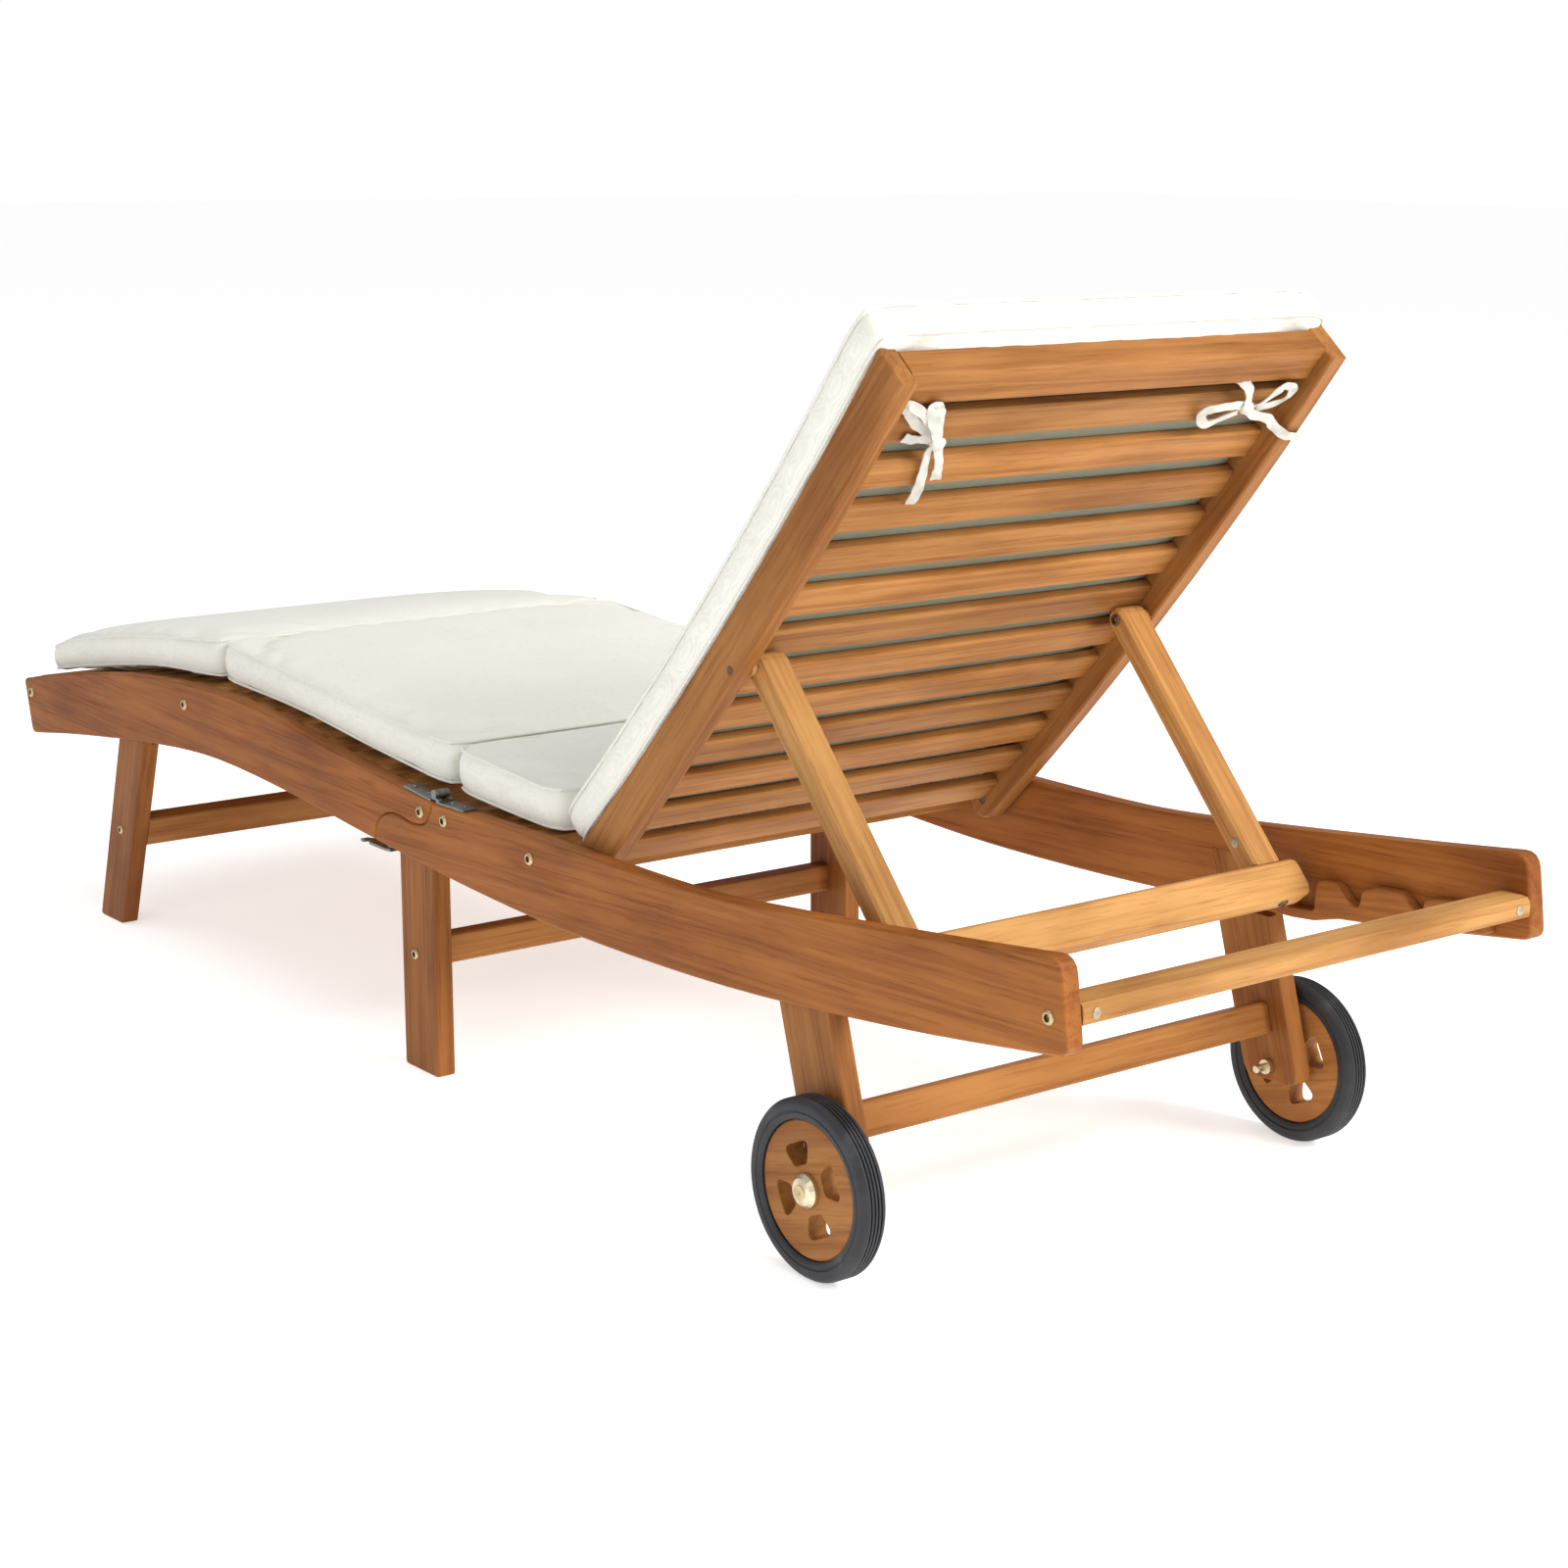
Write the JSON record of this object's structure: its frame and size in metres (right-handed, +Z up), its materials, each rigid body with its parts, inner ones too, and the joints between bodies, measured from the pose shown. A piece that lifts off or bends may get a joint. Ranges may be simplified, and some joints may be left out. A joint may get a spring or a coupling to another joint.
{
  "type": "reclining sun lounger",
  "caption": "Slatted timber sun lounger on wheels: backrest props up in notched racks, foot half folds over on hinges, with a boxed cushion.",
  "frame": {"origin": "on the floor under the middle of the overall length and width", "axes": "+X along the length from the foot end towards the head end, +Y across the width, +Z up"},
  "size_m": [1.9818, 0.6606, 0.8535],
  "materials": {
    "teak": "oiled, satin",
    "steel_fittings": "brushed",
    "brass_bolt": "polished",
    "tyre_rubber": "matt",
    "cushion_cloth": "woven cotton canvas"
  },
  "bodies": {
    "head_frame": {"head_rail_left": "teak", "head_rail_right": "teak", "middle_leg_left": "teak", "middle_leg_right": "teak", "rear_leg_left": "teak", "rear_leg_right": "teak", "middle_stretcher": "teak", "rear_stretcher": "teak", "handle_bar": "teak", "seat_front_rail": "teak", "seat_rear_rail": "teak", "seat_slat_panel": "teak", "rack_left": "teak", "rack_right": "teak", "head_hinge_leaf_left": "steel_fittings", "head_hinge_leaf_right": "steel_fittings", "axle_bolt_left": "brass_bolt", "axle_bolt_right": "brass_bolt", "back_pivot_pin_left": "steel_fittings", "back_pivot_pin_right": "steel_fittings", "cushion_seat": "cushion_cloth"},
    "foot_section": {"foot_rail_left": "teak", "foot_rail_right": "teak", "foot_leg_left": "teak", "foot_leg_right": "teak", "foot_stretcher": "teak", "foot_end_rail": "teak", "foot_mid_rail": "teak", "foot_rear_rail": "teak", "foot_slat_panel": "teak", "foot_hinge_leaf_left": "steel_fittings", "foot_hinge_leaf_right": "steel_fittings", "cushion_foot": "cushion_cloth", "cushion_calf": "cushion_cloth"},
    "backrest": {"back_stile_left": "teak", "back_stile_right": "teak", "back_top_rail": "teak", "back_slat_01": "teak", "back_slat_02": "teak", "back_slat_03": "teak", "back_slat_04": "teak", "back_slat_05": "teak", "back_slat_06": "teak", "back_slat_07": "teak", "back_slat_08": "teak", "back_slat_09": "teak", "back_slat_10": "teak", "back_slat_11": "teak", "back_slat_12": "teak", "cushion_back": "cushion_cloth"},
    "prop_frame": {"prop_arm_left": "teak", "prop_arm_right": "teak", "prop_crossbar": "teak"},
    "wheel_left": {"wheel_disc_left": "teak", "tyre_left": "tyre_rubber"},
    "latch_left": {"latch_left": "steel_fittings"},
    "wheel_right": {"wheel_disc_right": "teak", "tyre_right": "tyre_rubber"},
    "latch_right": {"latch_right": "steel_fittings"}
  },
  "joints": [
    {"name": "fold", "type": "hinge", "parent": "head_frame", "child": "foot_section", "pos_m": [0.0325, 0, 0.3145], "axis": [0, 1, 0], "range_deg": [0, 90]},
    {"name": "recline", "type": "hinge", "parent": "head_frame", "child": "backrest", "pos_m": [0.2721, 0, 0.281], "axis": [0, 1, 0], "range_deg": [0, 43.4]},
    {"name": "prop_swing", "type": "hinge", "parent": "backrest", "child": "prop_frame", "pos_m": [0.51072, 0, 0.51609], "axis": [0, 1, 0], "range_deg": [-94, 0]},
    {"name": "wheel_turn_left", "type": "hinge", "parent": "head_frame", "child": "wheel_left", "pos_m": [0.6918, -0.31, 0.0834], "axis": [0, 1, 0], "continuous": true},
    {"name": "wheel_turn_right", "type": "hinge", "parent": "head_frame", "child": "wheel_right", "pos_m": [0.6918, 0.31, 0.0834], "axis": [0, 1, 0], "continuous": true},
    {"name": "latch_swing_left", "type": "hinge", "parent": "head_frame", "child": "latch_left", "pos_m": [-0.0715, -0.29, 0.2344], "axis": [0, 0, 1], "range_deg": [-80, 0]},
    {"name": "latch_swing_right", "type": "hinge", "parent": "head_frame", "child": "latch_right", "pos_m": [-0.0715, 0.29, 0.2344], "axis": [0, 0, 1], "range_deg": [0, 80]}
  ],
  "couplings": [
    {"joint": "prop_swing", "follows": "recline", "ratio": -2.15}
  ]
}
